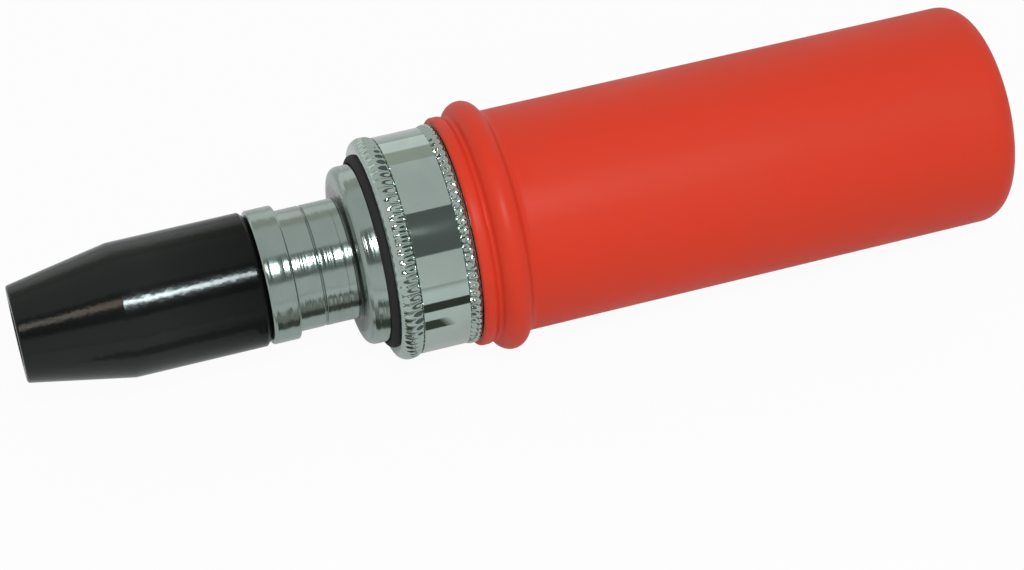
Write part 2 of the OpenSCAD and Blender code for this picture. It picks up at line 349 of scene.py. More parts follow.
def install(
    piece: Object, body: Body, finish: Finish, node: str, crease: float = 28.0
) -> None:
    """Shades and dresses a piece and puts it in the place of its solid.

    Args:
        piece: The finished mesh.
        body: The body that carries it.
        finish: The finish to show.
        node: Name of the solid that it stands for.
        crease: Angle in degrees above which its edges stay crisp.
    """
    activate(piece)
    bpy.ops.object.shade_smooth_by_angle(angle=math.radians(crease))
    finish.coat(piece)
    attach(piece, body.value)
    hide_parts(node)
    LOG.info("%s: %d faces", piece.name, len(piece.data.polygons))


class Wiring:
    """Adds the nodes of one material, world or node group and links them."""

    def __init__(self, tree: NodeTree) -> None:
        """Starts on an emptied tree."""
        self.tree = tree
        self.tree.nodes.clear()

    def feed(self, node: Node, inputs: dict) -> None:
        """Sets values on a node's inputs, or links sockets to them.

        Args:
            node: The node to feed.
            inputs: Values or sockets for its inputs, by name or place.
        """
        for key, value in inputs.items():
            if isinstance(value, NodeSocket):
                self.tree.links.new(value, node.inputs[key])
            else:
                node.inputs[key].default_value = value

    def add(self, kind: str, inputs: dict | None = None, **settings: object) -> Node:
        """Adds a node.

        Args:
            kind: The node's type.
            inputs: Values or sockets for its inputs, by name or place.
            settings: Values for its own properties.

        Returns:
            The new node.
        """
        node = self.tree.nodes.new(kind)
        for key, value in settings.items():
            setattr(node, key, value)
        self.feed(node, inputs or {})
        return node

    def math(self, operation: str, *values: object) -> NodeSocket:
        """Adds a math node on values or sockets and gives its result."""
        return self.add("ShaderNodeMath", dict(enumerate(values)), operation=operation).outputs[0]

    def span(
        self, value: NodeSocket, low: object, high: object, to_low: float, to_high: float
    ) -> NodeSocket:
        """Maps a value from one range onto another, held at its ends."""
        inputs = {0: value, 1: low, 2: high, 3: to_low, 4: to_high}
        return self.add("ShaderNodeMapRange", inputs).outputs[0]

    def blend(self, mask: NodeSocket, first: object, second: object) -> NodeSocket:
        """Mixes two colours, or sockets that give colours, by a mask."""
        inputs = {0: mask, 6: first, 7: second}
        return self.add("ShaderNodeMix", inputs, data_type="RGBA").outputs[2]

    def noise(self, dimensions: str = "3D", **inputs: object) -> NodeSocket:
        """Adds a noise texture and gives its value."""
        return self.add("ShaderNodeTexNoise", inputs, noise_dimensions=dimensions).outputs[0]

    def bump(
        self, height: NodeSocket, strength: float, depth: float, under: NodeSocket | None = None
    ) -> NodeSocket:
        """Adds a bump.

        Args:
            height: The height to raise.
            strength: How much of it shows.
            depth: Its depth in millimetres.
            under: A bump that this one lies on.

        Returns:
            The bump's normal.
        """
        inputs = {"Strength": strength, "Distance": depth * MM, "Height": height}
        if under is not None:
            inputs["Normal"] = under
        return self.add("ShaderNodeBump", inputs).outputs[0]

    def effect(self, group: NodeTree, **values: float) -> NodeSocket:
        """Places a shared effect, with _ for a space in its inputs' names, and gives its output."""
        inputs = {key.replace("_", " "): value for key, value in values.items()}
        return self.add("ShaderNodeGroup", inputs, node_tree=group).outputs[0]

    def coordinates(self, kind: str = "Object") -> NodeSocket:
        """Gives texture coordinates."""
        return self.add("ShaderNodeTexCoord").outputs[kind]

    def place(self, stretch: Triple = (1.0, 1.0, 1.0)) -> NodeSocket:
        """Places a pattern on the piece.

        Args:
            stretch: Scale of the coordinates along X, Y and Z.

        Returns:
            The piece's own coordinates, in metres from the axis, stretched.
        """
        shift = (0.0, 0.0, -AXIS_HEIGHT * MM * stretch[2])
        inputs = {"Vector": self.coordinates(), "Location": shift, "Scale": stretch}
        return self.add("ShaderNodeMapping", inputs).outputs[0]

    def parts(self, where: NodeSocket) -> bpy.types.NodeOutputs:
        """Splits coordinates into X, Y and Z."""
        return self.add("ShaderNodeSeparateXYZ", {0: where}).outputs

    def reach(self, parts: bpy.types.NodeOutputs) -> NodeSocket:
        """Gives the distance from the axis, from a split place."""
        square = self.math("MULTIPLY", parts[1], parts[1])
        return self.math("SQRT", self.math("MULTIPLY_ADD", parts[2], parts[2], square))

    def show(self, shader: Node) -> None:
        """Puts a shader out of the material."""
        self.add("ShaderNodeOutputMaterial", {0: shader.outputs[0]})

    def group(self, value: NodeSocket) -> NodeTree:
        """Puts a value out of the node group and gives the finished group."""
        self.add("NodeGroupOutput", {0: value})
        return self.tree


def new_material(name: str) -> tuple[Material, Wiring]:
    """Makes an empty material.

    Args:
        name: Name of the material.

    Returns:
        The material and its wiring.
    """
    made = bpy.data.materials.new(name)
    made.use_nodes = True
    return made, Wiring(made.node_tree)


def new_group(
    name: str, output: str, inputs: dict[str, float]
) -> tuple[Wiring, bpy.types.NodeOutputs]:
    """Starts a node group.

    Args:
        name: Name of the group.
        output: Name of its output, a number.
        inputs: Names of its inputs, with their usual values.

    Returns:
        The wiring of the group, and the sockets that give its inputs.
    """
    tree = bpy.data.node_groups.new(name, "ShaderNodeTree")
    kind = "NodeSocketFloat"
    for key, value in inputs.items():
        socket = tree.interface.new_socket(name=key, in_out="INPUT", socket_type=kind)
        socket.default_value = value
    tree.interface.new_socket(name=output, in_out="OUTPUT", socket_type=kind)
    wiring = Wiring(tree)
    return wiring, wiring.add("NodeGroupInput").outputs


@cache
def turning_rings() -> NodeTree:
    """Makes fine rings round the axis, on walls and on end faces alike.

    Returns:
        The node group.
    """
    wiring, given = new_group("turning_rings", "Height", {"Rings per mm": 3.0, "Wander": 0.3})
    parts = wiring.parts(wiring.place())
    path = wiring.math("ADD", parts[0], wiring.reach(parts))
    wave = wiring.noise(Vector=wiring.place(), Scale=60.0, Detail=1.0)
    shift = wiring.math("MULTIPLY", wave, given["Wander"])
    rate = wiring.math("MULTIPLY", given["Rings per mm"], PER_MM)
    where = wiring.math("ADD", wiring.math("MULTIPLY", path, rate), shift)
    return wiring.group(wiring.noise("1D", W=where, Scale=1.0, Detail=2.0, Roughness=0.4))


@cache
def handling_smudges() -> NodeTree:
    """Makes soft patches, as hands and oil leave.

    Returns:
        The node group.
    """
    wiring, given = new_group("handling_smudges", "Mask", {"Scale": 90.0, "Spread": 0.5})
    cloud = wiring.noise(Vector=wiring.place(), Scale=given["Scale"], Detail=5.0, Distortion=0.8)
    half = wiring.math("MULTIPLY", given["Spread"], 0.5)
    low, high = wiring.math("SUBTRACT", 0.5, half), wiring.math("ADD", 0.5, half)
    return wiring.group(wiring.span(cloud, low, high, 0.0, 1.0))


@cache
def fine_grain(wide_share: float = 0.17) -> NodeTree:
    """Makes the small hills of moulded or plated skin.

    Args:
        wide_share: Scale of the wider hills under them.

    Returns:
        The node group.
    """
    wiring, given = new_group("fine_grain", "Height", {"Grains per mm": 1.5, "Softness": 0.5})
    scale = wiring.math("MULTIPLY", given["Grains per mm"], PER_MM)
    fine = wiring.noise(Vector=wiring.place(), Scale=scale, Detail=2.0)
    wide_scale = wiring.math("MULTIPLY", scale, wide_share)
    wide = wiring.noise(Vector=wiring.place(), Scale=wide_scale, Detail=2.0)
    mix = wiring.add("ShaderNodeMix", {0: given["Softness"], 2: fine, 3: wide})
    return wiring.group(mix.outputs[0])


@cache
def hair_scratches(scale: float = 420.0, stretch: float = 0.05, edge: float = 0.05) -> NodeTree:
    """Makes sparse hair lines that run mostly along the tool.

    Args:
        scale: Lines on a metre, at a density of 1.
        stretch: Scale along the tool, which draws the lines out.
        edge: How far a line takes to fade out.

    Returns:
        The node group.
    """
    wiring, given = new_group("hair_scratches", "Mask", {"Density": 1.0, "Cut": 0.66})
    where = wiring.place((stretch, 1.0, 1.0))
    density = wiring.math("MULTIPLY", given["Density"], scale)
    lines = wiring.noise(Vector=where, Scale=density, Detail=2.0, Distortion=0.3)
    gaps = wiring.noise(Vector=wiring.place(), Scale=130.0, Detail=2.0)
    thin = wiring.math("MULTIPLY", lines, wiring.span(gaps, 0.35, 0.65, 0.7, 1.15))
    top = wiring.math("ADD", given["Cut"], edge)
    return wiring.group(wiring.span(thin, given["Cut"], top, 0.0, 1.0))


@dataclass(frozen=True)
class Finish:
    """What every finish has: a name and a way to wire its material."""

    name: str

    def material(self) -> Material:
        """Makes the finish's material at the first call.

        Returns:
            The material.
        """
        made = bpy.data.materials.get(self.name)
        if not made:
            made, wiring = new_material(self.name)
            shader = wiring.add("ShaderNodeBsdfPrincipled")
            wiring.show(shader)
            self.wire(wiring, shader)
        return made

    def coat(self, piece: Object) -> None:
        """Gives a piece this finish and no other."""
        piece.data.materials.clear()
        piece.data.materials.append(self.material())

    def wire(self, wiring: Wiring, shader: Node) -> None:
        """Wires the surface into the shader."""
        raise NotImplementedError


@dataclass(frozen=True)
class PlainFinish(Finish):
    """A plain finish that is loaded with the solids, under the name of its slot."""

    def material(self) -> Material:
        """Gives the loaded material."""
        return bpy.data.materials[self.name]


@dataclass(frozen=True)
class MetalFinish(Finish):
    """Bare or plated metal, with turning rings and handled patches."""

    light: Colour = (0.5, 0.6, 0.555, 1.0)
    dull: Colour = (0.44, 0.53, 0.49, 1.0)
    smooth: float = 0.06
    rough: float = 0.16
    rings: float = 3.0
    ring_strength: float = 0.05
    ring_depth: float = 0.03
    waviness: float = 0.02

    def wire(self, wiring: Wiring, shader: Node) -> None:
        """Wires the metal into the shader.

        Args:
            wiring: The material's wiring.
            shader: The shader to feed.
        """
        smudge = wiring.effect(handling_smudges(), Scale=110.0, Spread=0.45)
        rings = wiring.effect(turning_rings(), Rings_per_mm=self.rings)
        wave = wiring.effect(fine_grain(), Grains_per_mm=0.7, Softness=0.4)
        ripple = wiring.bump(wave, self.waviness, depth=0.1)
        inputs = {
            "Metallic": 1.0,
            "Base Color": wiring.blend(smudge, self.light, self.dull),
            "Roughness": wiring.span(smudge, 0.0, 1.0, self.smooth, self.rough),
            "Normal": wiring.bump(rings, self.ring_strength, self.ring_depth, ripple),
        }
        wiring.feed(shader, inputs)


@dataclass(frozen=True)
class CornerShadedMetal(MetalFinish):
    """Bright metal with painted shade that darkens the corner between a neck and a flange."""

    oil: Colour = (0.05, 0.06, 0.05, 1.0)
    corner: float = 54.1
    core: float = 0.24
    width: float = 0.8
    foot: float = 10.6
    rim: float = 13.4
    rim_share: float = 0.2

    def wire(self, wiring: Wiring, shader: Node) -> None:
        """Wires the metal and its painted corner shade into the shader.

        Args:
            wiring: The material's wiring.
            shader: The shader to feed.
        """
        super().wire(wiring, shader)
        # Painted shade: the colour darkens within a short way of the corner's station, fully at the
        # neck's foot and less towards the flange's rim.
        parts = wiring.parts(wiring.place())
        away = wiring.math("ABSOLUTE", wiring.math("SUBTRACT", parts[0], along(self.corner)))
        near = wiring.span(away, self.core * MM, self.width * MM, 1.0, 0.0)
        ends = (self.foot * MM, self.rim * MM, 1.0, self.rim_share)
        mask = wiring.math("MULTIPLY", near, wiring.span(wiring.reach(parts), *ends))
        bare = shader.inputs["Base Color"].links[0].from_socket
        wiring.feed(shader, {"Base Color": wiring.blend(mask, bare, self.oil)})


@dataclass(frozen=True)
class BlackedSteel(Finish):
    """Blacked steel with an oiled sheen, browner in places, and hair scratches."""

    black: Colour = (0.0032, 0.0042, 0.004, 1.0)
    brown: Colour = (0.005, 0.0048, 0.0044, 1.0)
    smooth: float = 0.13
    rough: float = 0.2
    hair_rough: float = 0.05
    gloss: float = 0.37
    rear_gloss: float = 0.15
    gloss_span: Point = (22.0, 39.0)
    tint: Colour = (0.91, 1.0, 0.98, 1.0)
    waviness: float = 0.75

    def wire(self, wiring: Wiring, shader: Node) -> None:
        """Wires the blacked steel into the shader.

        Args:
            wiring: The material's wiring.
            shader: The shader to feed.
        """
        smudge = wiring.effect(handling_smudges(), Scale=120.0, Spread=0.5)
        rings = wiring.effect(turning_rings(), Rings_per_mm=4.0)
        hairs = wiring.effect(hair_scratches(), Density=1.6, Cut=0.7)
        wave = wiring.effect(fine_grain(), Grains_per_mm=0.9, Softness=0.6)
        ripple = wiring.bump(wave, self.waviness, depth=0.1)
        sheen = wiring.span(smudge, 0.0, 1.0, self.smooth, self.rough)
        station = wiring.parts(wiring.place())[0]
        ends = [along(end) for end in self.gloss_span]
        inputs = {
            "Base Color": wiring.blend(smudge, self.black, self.brown),
            "Roughness": wiring.math("MULTIPLY_ADD", hairs, self.hair_rough, sheen),
            "Specular IOR Level": wiring.span(station, *ends, self.gloss, self.rear_gloss),
            "Specular Tint": self.tint,
            "Normal": wiring.bump(rings, strength=0.15, depth=0.03, under=ripple),
        }
        wiring.feed(shader, inputs)


@dataclass(frozen=True)
class MouldedRubber(Finish):
    """Moulded rubber or vinyl, with a fine skin and a little bloom."""

    colour: Colour = (0.69, 0.04, 0.014, 1.0)
    bloom: Colour = (0.65, 0.045, 0.019, 1.0)
    smooth: float = 0.36
    rough: float = 0.5
    grain: float = 0.12
    gloss: float = 0.18

    def wire(self, wiring: Wiring, shader: Node) -> None:
        """Wires the rubber into the shader.

        Args:
            wiring: The material's wiring.
            shader: The shader to feed.
        """
        smudge = wiring.effect(handling_smudges(), Scale=45.0, Spread=0.6)
        grain = wiring.effect(fine_grain(), Grains_per_mm=1.6, Softness=0.45)
        inputs = {
            "Base Color": wiring.blend(smudge, self.colour, self.bloom),
            "Roughness": wiring.span(smudge, 0.0, 1.0, self.smooth, self.rough),
            "Specular IOR Level": self.gloss,
            "Normal": wiring.bump(grain, self.grain, depth=0.05),
        }
        wiring.feed(shader, inputs)


POLISHED_CHROME = MetalFinish(
    "polished_chrome", smooth=0.03, rough=0.07, rings=1.2, ring_strength=0.02
)
TURNED_CHROME = CornerShadedMetal(
    "turned_chrome", light=(0.4, 0.48, 0.445, 1.0), dull=(0.34, 0.41, 0.38, 1.0),
    smooth=0.15, rough=0.2, rings=0.8, ring_strength=1.0, ring_depth=0.22, waviness=0.3,
)
PLATED_TUBE = MetalFinish(
    "plated_tube", light=(0.46, 0.46, 0.45, 1.0), dull=(0.38, 0.38, 0.36, 1.0),
    rough=0.14, ring_strength=0.04,
)
BLACKED_STEEL = BlackedSteel("blacked_steel")
RED_VINYL = MouldedRubber("red_vinyl")
BRIGHT_STEEL = PlainFinish("bright_steel")
SPRING_STEEL = PlainFinish("spring_steel")
BLACK_RUBBER = PlainFinish("black_rubber")


@dataclass
class GripSleeve:
    """The red sleeve: a front lip, a hand bead, a straight wall and a closed end."""

    front: float = 72.4
    end: float = 164.2
    bore: float = 16.05
    wall_radius: float = 18.4
    wall_rows: Triple = (100.0, 120.0, 140.0)
    lip_radius: float = 19.0
    lip_length: float = 2.4
    lip_round: float = 0.6
    lip_fall: float = 1.2
    lap_front: float = 71.85
    lap_bore: float = 18.12
    bead_station: float = 77.3
    bead_radius: float = 2.5
    bead_sink: float = 0.2
    valley_radius: float = 18.55
    front_fillet: float = 0.7
    rear_fillet: float = 1.5
    end_round: float = 4.0
    end_row: float = 7.0
    cavity_end: float = 161.25
    cavity_chamfer: float = 1.5

    def fillet(self, floor: float, radius: float) -> Point:
        """Works out where a fillet meets the bead.

        Args:
            floor: Radius of the wall that the fillet runs into.
            radius: Radius of the fillet.

        Returns:
            How far the fillet's centre lies from the bead's along the tool, and the angle in
            degrees of the line between the two centres.
        """
        rise = floor + radius - (self.wall_radius - self.bead_sink)
        offset = math.sqrt((self.bead_radius + radius) ** 2 - rise**2)
        return offset, math.degrees(math.atan2(rise, offset))

    def profile(self) -> list[Point]:
        """Gives the sleeve's profile, from the cavity's floor round to the closed end.

        Returns:
            Points as station and radius.
        """
        front_offset, front_lean = self.fillet(self.valley_radius, self.front_fillet)
        rear_offset, rear_lean = self.fillet(self.wall_radius, self.rear_fillet)
        valley = self.bead_station - front_offset
        nose = [
            (self.cavity_end, 0.0),
            (self.cavity_end, self.bore - self.cavity_chamfer),
            (self.cavity_end - self.cavity_chamfer, self.bore),
            (self.front, self.bore),
            (self.front, self.lap_bore),
            (self.lap_front, self.lap_bore),
            (self.lap_front, self.lip_radius, self.lip_round),
            (self.front + self.lip_length / 2.0, self.lip_radius, self.lip_fall),
            (valley, self.valley_radius),
        ]
        front_centre = (valley, self.valley_radius + self.front_fillet)
        bead_centre = (self.bead_station, self.wall_radius - self.bead_sink)
        rear_centre = (self.bead_station + rear_offset, self.wall_radius + self.rear_fillet)
        end_centre = (self.end - self.end_round, self.wall_radius - self.end_round)
        return (
            rounded(nose, steps=6)
            + arc(front_centre, self.front_fillet, -90.0, -front_lean, steps=10)[1:]
            + arc(bead_centre, self.bead_radius, 180.0 - front_lean, rear_lean, steps=28)[1:]
            + arc(rear_centre, self.rear_fillet, 180.0 + rear_lean, 270.0, steps=12)[1:]
            + [(station, self.wall_radius) for station in self.wall_rows]
            + arc(end_centre, self.end_round, 90.0, 0.0, steps=18)
            + [(self.end, self.end_row), (self.end, 0.0)]
        )

    def build(self) -> None:
        """Turns the sleeve and dresses it."""
        piece = turn("sleeve_skin", self.profile(), steps=192)
        install(piece, Body.HANDLE, RED_VINYL, "grip_sleeve")


@dataclass
class KnurlRow:
    """A row of knurl teeth on a crown between two stations."""

    front: float
    rear: float
    peak_station: float
    peak: float
    front_edge: float
    rear_edge: float
    front_depth: float
    rear_depth: float
    root: float = 17.3
    steps: int = 7
    least_share: float = 0.55
    swell: float = 1.15

    def crown(self) -> list[Point]:
        """Gives the crown's profile: a quarter of an ellipse to each side of its peak.

        Returns:
            Points as station and radius.
        """
        points: list[Point] = []
        for i in range(-self.steps, self.steps + 1):
            end, edge = (self.front, self.front_edge) if i < 0 else (self.rear, self.rear_edge)
            angle = abs(i) / self.steps * math.pi / 2.0
            station = self.peak_station + (end - self.peak_station) * math.sin(angle)
            points.append((station, self.peak - (self.peak - edge) * (1.0 - math.cos(angle))))
        return points

    def depth_at(self, place: int) -> float:
        """Works out a valley's depth, which is largest between peak and edge.

        Args:
            place: Place of the point on the crown.

        Returns:
            The depth there.
        """
        across = (place - self.steps) / self.steps
        depth = self.front_depth if across < 0.0 else self.rear_depth
        rise = math.sin(math.pi * min(abs(across) * self.swell, 1.0))
        return depth * (self.least_share + (1.0 - self.least_share) * rise)


@dataclass
class KnurledCollar:
    """The chrome band over the cross pin, with a knurl along each edge."""

    bore: float = 16.02
    band: float = 17.95
    band_middle: float = 66.0
    band_gap: float = 0.12
    teeth: int = 72
    columns: int = 10
    station_slack: float = 0.002
    radius_slack: float = 0.02
    front_row: KnurlRow = field(
        default_factory=lambda: KnurlRow(
            front=58.5, rear=62.0, peak_station=60.35, peak=18.41,
            front_edge=16.94, rear_edge=17.75, front_depth=0.14, rear_depth=0.75,
        )
    )
    rear_row: KnurlRow = field(
        default_factory=lambda: KnurlRow(
            front=69.8, rear=71.75, peak_station=70.95, peak=18.22,
            front_edge=17.75, rear_edge=17.85, front_depth=0.7, rear_depth=0.2, steps=6,
        )
    )

    def profile(self) -> list[Point]:
        """Gives the collar's profile as a closed ring.

        Returns:
            Points as station and radius.
        """
        front, rear = self.front_row, self.rear_row
        rows = (front.rear + self.band_gap, self.band_middle, rear.front - self.band_gap)
        return (
            [(front.front, self.bore)]
            + front.crown()
            + [(station, self.band) for station in rows]
            + rear.crown()
            + [(rear.rear, self.bore)]
        )

    def press(self, piece: Object, row: KnurlRow) -> None:
        """Presses the valleys of one row of teeth into its crown, ring by ring.

        Args:
            piece: The turned collar.
            row: The row to press.
        """
        activate(piece)
        edit()
        pitch = math.tau / (self.teeth * self.columns)
        crown = row.crown()
        groups: dict[tuple[int, float], list[int]] = {}
        mesh = bmesh.from_edit_mesh(piece.data)
        for vertex in mesh.verts:
            spot = (vertex.co - on_axis(HALF_LENGTH)) / MM
            for k, (station, radius) in enumerate(crown):
                if abs(spot.x + HALF_LENGTH - station) > self.station_slack:
                    continue
                if abs(math.hypot(spot.y, spot.z) - radius) > self.radius_slack:
                    continue
                column = round(math.atan2(spot.y, spot.z) / pitch) % self.columns
                share = round(0.5 - 0.5 * math.cos(math.tau * column / self.columns), 4)
                if share > 0.0:
                    groups.setdefault((k, share), []).append(vertex.index)
                break
        for (k, share), members in groups.items():
            radius = crown[k][1]
            depth = min(row.depth_at(k), max(radius - row.root, 0.0)) * share
            if depth > 0.0:
                pick(piece, Element.VERTS, members)
                size = (radius - depth) / radius
                bpy.ops.transform.resize(value=(1.0, size, size), center_override=on_axis(0.0))
        leave()

    def build(self) -> None:
        """Turns the collar, presses its knurls and dresses it."""
        piece = turn("collar_band", self.profile(), self.teeth * self.columns, closed=True)
        for row in (self.front_row, self.rear_row):
            self.press(piece, row)
        install(piece, Body.HANDLE, POLISHED_CHROME, "knurled_collar", crease=48.0)


@dataclass
class WiperSeal:
    """The black ring between the flange and the collar."""

    front: float = 57.4
    rear: float = 60.1
    inner: float = 14.8
    outer: float = 16.0
    inner_round: float = 0.2
    lip: float = 1.0

    def build(self) -> None:
        """Turns the seal and dresses it."""
        corners = [
            (self.rear, self.inner),
            (self.front, self.inner, self.inner_round),
            (self.front, self.outer, self.lip),
            (self.rear, self.outer),
        ]
        piece = turn("wiper_lip", rounded(corners, steps=8), steps=160, closed=True)
        install(piece, Body.HANDLE, BLACK_RUBBER, "wiper_seal", crease=30.0)


@dataclass
class Spindle:
    """The chrome spindle: square drive, shoulder, neck, flange, cam section and rear pilot."""

    drive_start: float = 24.0
    drive_width: float = 12.7
    drive_corner: float = 0.75
    drive_root: float = 1.0
    shoulder: float = 39.2
    shoulder_radius: float = 11.004
    shoulder_front_round: float = 0.5
    shoulder_rear_round: float = 0.45
    neck: float = 43.8
    neck_radius: float = 9.95
    neck_front_fillet: float = 0.25
    neck_rear_fillet: float = 0.5
    groove: float = 47.9
    groove_width: float = 0.5
    groove_depth: float = 0.3
    groove_round: float = 0.08
    flange: float = 54.1
    flange_radius: float = 14.7
    flange_round: float = 1.5
    flange_rear_round: float = 0.25
    cam: float = 59.4
    cam_radius: float = 12.5
    cam_end: float = 80.0
    cam_end_round: float = 0.4
    ring_groove: Point = (74.175, 76.375)
    ring_groove_radius: float = 10.45
    ring_groove_round: float = 0.1
    pilot_radius: float = 4.0
    pilot_end: float = 82.15
    pilot_round: float = 0.3
    pin_station: float = 67.8
    pin_radius: float = 2.75
    stroke: float = 5.0
    cam_angle: float = 20.0
    window_reach: float = 16.0
    ball_station: float = 31.6
    ball_hole: float = 2.05
    ball_seat: float = -2.74

    def profile(self) -> list[Point]:
        """Gives the profile of the turned part behind the square drive.

        Returns:
            Points as station and radius.
        """
        middle = self.groove + self.groove_width / 2.0
        ring_front, ring_rear = self.ring_groove
        corners = [
            (self.shoulder, 0.0),
            (self.shoulder, self.shoulder_radius, self.shoulder_front_round),
            (self.neck, self.shoulder_radius, self.shoulder_rear_round),
            (self.neck, self.neck_radius, self.neck_front_fillet),
            (self.groove, self.neck_radius, self.groove_round),
            (middle, self.neck_radius - self.groove_depth, self.groove_round),
            (self.groove + self.groove_width, self.neck_radius, self.groove_round),
            (self.flange, self.neck_radius, self.neck_rear_fillet),
            (self.flange, self.flange_radius, self.flange_round),
            (self.cam, self.flange_radius, self.flange_rear_round),
            (self.cam, self.cam_radius),
            (ring_front, self.cam_radius, self.ring_groove_round),
            (ring_front, self.ring_groove_radius),
            (ring_rear, self.ring_groove_radius),
            (ring_rear, self.cam_radius, self.ring_groove_round),
            (self.cam_end, self.cam_radius, self.cam_end_round),
            (self.cam_end, self.pilot_radius),
            (self.pilot_end, self.pilot_radius, self.pilot_round),
            (self.pilot_end, 0.0),
        ]
        return rounded(corners, steps=8)

    def nose(self) -> list[Point]:
        """Gives the profile of the cutter that chamfers the drive's front end.

        Returns:
            Points as station and radius.
        """
        offsets = [(-1.0, 0.0), (-1.0, 12.0), (8.0, 12.0), (8.0, 11.0), (4.25, 10.6)]
        offsets += [(0.0, 6.35), (0.0, 0.0)]
        return [(self.drive_start + offset, radius) for offset, radius in offsets]

    def window(self) -> Object:
        """Makes the cutter of the V window, a wall round the pin's three places.

        Returns:
            The cutter.
        """
        half = self.cam_radius * math.sin(math.radians(self.cam_angle)) * MM
        stroke = self.stroke * MM
        clear()
        bpy.ops.mesh.primitive_circle_add(vertices=48, radius=self.pin_radius * MM)
        cutter = bpy.context.object
        edit()
        bpy.ops.transform.translate(value=(self.pin_station * MM, -half, 0.0))
        for move in ((-stroke, half, 0.0), (stroke, half, 0.0)):
            bpy.ops.mesh.duplicate_move(TRANSFORM_OT_translate={"value": move})
        select_all()
        bpy.ops.mesh.convex_hull()
        select_all()
        bpy.ops.mesh.dissolve_limited(angle_limit=math.radians(1.0))
        select_all()
        low = (AXIS_HEIGHT - self.window_reach) * MM
        bpy.ops.transform.translate(value=(-HALF_LENGTH * MM, 0.0, low))
        rise = (0.0, 0.0, 2.0 * self.window_reach * MM)
        bpy.ops.mesh.extrude_region_move(TRANSFORM_OT_translate={"value": rise})
        close()
        centre = on_axis(HALF_LENGTH)
        lean = Matrix.Rotation(-math.radians(self.cam_angle), 4, "X")
        cutter.data.transform(Matrix.Translation(centre) @ lean @ Matrix.Translation(-centre))
        return cutter

    def build(self) -> None:
        """Turns the spindle, adds its drive, cuts its window and ball hole, and dresses it."""
        piece = turn("spindle_body", self.profile(), steps=160)
        drive_end = self.shoulder + self.drive_root
        drive = bar(self.drive_start, drive_end, self.drive_width, self.drive_corner)
        combine(drive, turn("nose_cutter", self.nose(), steps=96))
        combine(piece, drive, Operation.JOIN)
        combine(piece, self.window())
        clear()
        middle = (self.ball_seat + self.drive_width) / 2.0
        bpy.ops.mesh.primitive_cylinder_add(
            vertices=64,
            radius=self.ball_hole * MM,
            depth=(self.drive_width - self.ball_seat) * MM,
            location=on_axis(self.ball_station) + Vector((0.0, 0.0, middle * MM)),
        )
        hole = bpy.context.object
        bpy.ops.object.transform_apply()
        combine(piece, hole)
        install(piece, Body.SPINDLE, TURNED_CHROME, "spindle")


@dataclass
class BitHolder:
    """The black bit holder: a tapered nose with a hex socket, and a square socket behind."""

    length: float = 39.15
    tip_radius: float = 7.8765
    tip_round: float = 0.45
    taper: float = 16.8
    taper_round: float = 1.2
    radius: float = 11.004
    rear_chamfer: float = 0.9
    rear_rounds: Point = (0.2, 0.15)
    hex_flats: float = 8.1
    hex_depth: float = 15.5
    hex_inset: float = 0.5
    mouth_chamfer: float = 0.7
    ring_groove: Point = (5.3, 6.7)
    ring_groove_radius: float = 5.597
    pilot_radius: float = 3.65
    pilot_length: float = 1.5
    pilot_overlap: float = 0.4
    drill_slope: float = 0.6
    socket_start: float = 22.95
    socket_width: float = 12.96
    overcut: float = 1.0

    @property
    def hex_corner(self) -> float:
        """The distance from the axis to a corner of the hex socket."""
        return self.hex_flats / math.sqrt(3.0)

    def profile(self) -> list[Point]:
        """Gives the profile of the outside.

        Returns:
            Points as station and radius.
        """
        front_round, end_round = self.rear_rounds
        corners = [
            (0.0, 0.0),
            (0.0, self.tip_radius, self.tip_round),
            (self.taper, self.radius, self.taper_round),
            (self.length - self.rear_chamfer, self.radius, front_round),
            (self.length, self.radius - self.rear_chamfer, end_round),
            (self.length, 0.0),
        ]
        return rounded(corners, steps=5)

    def hex_cutter(self) -> Object:
        """Makes the hex bar that cuts the socket for bits, with a corner on top.

        Returns:
            The cutter.
        """
        middle = on_axis((self.hex_depth - self.overcut) / 2.0)
        clear()
        bpy.ops.mesh.primitive_cylinder_add(
            vertices=6,
            radius=self.hex_corner * MM,
            depth=(self.hex_depth + self.overcut) * MM,
            location=middle,
            rotation=(0.0, math.pi / 2.0, 0.0),
        )
        cutter = bpy.context.object
        bpy.ops.object.transform_apply()
        edit()
        bpy.ops.transform.rotate(value=math.pi / 6.0, orient_axis="X", center_override=middle)
        leave()
        return cutter

    def turned_cutter(self) -> Object:
        """Turns the cutter of the mouth, the ring's groove, the pilot and the drill's point.

        Returns:
            The cutter.
        """
        inside = self.hex_flats / 2.0 - self.hex_inset
        groove_front, groove_rear = self.ring_groove
        pilot_start = self.hex_depth - self.pilot_overlap
        pilot_end = self.hex_depth + self.pilot_length
        profile = [
            (-self.overcut, 0.0),
            (-self.overcut, self.hex_corner + self.mouth_chamfer + self.overcut),
            (self.mouth_chamfer + self.hex_corner - inside, inside),
            (groove_front, inside),
            (groove_front, self.ring_groove_radius),
            (groove_rear, self.ring_groove_radius),
            (groove_rear, inside),
            (pilot_start, inside),
            (pilot_start, self.pilot_radius),
            (pilot_end, self.pilot_radius),
            (pilot_end + self.drill_slope * self.pilot_radius, 0.0),
        ]
        return turn("socket_cutter", profile, steps=96)

    def build(self) -> None:
        """Turns the holder, cuts its sockets and dresses it."""
        piece = turn("holder_body", self.profile(), steps=160)
        combine(piece, self.hex_cutter())
        combine(piece, self.turned_cutter())
        combine(piece, bar(self.socket_start, self.length + self.overcut, self.socket_width))
        install(piece, Body.HOLDER, BLACKED_STEEL, "bit_holder")


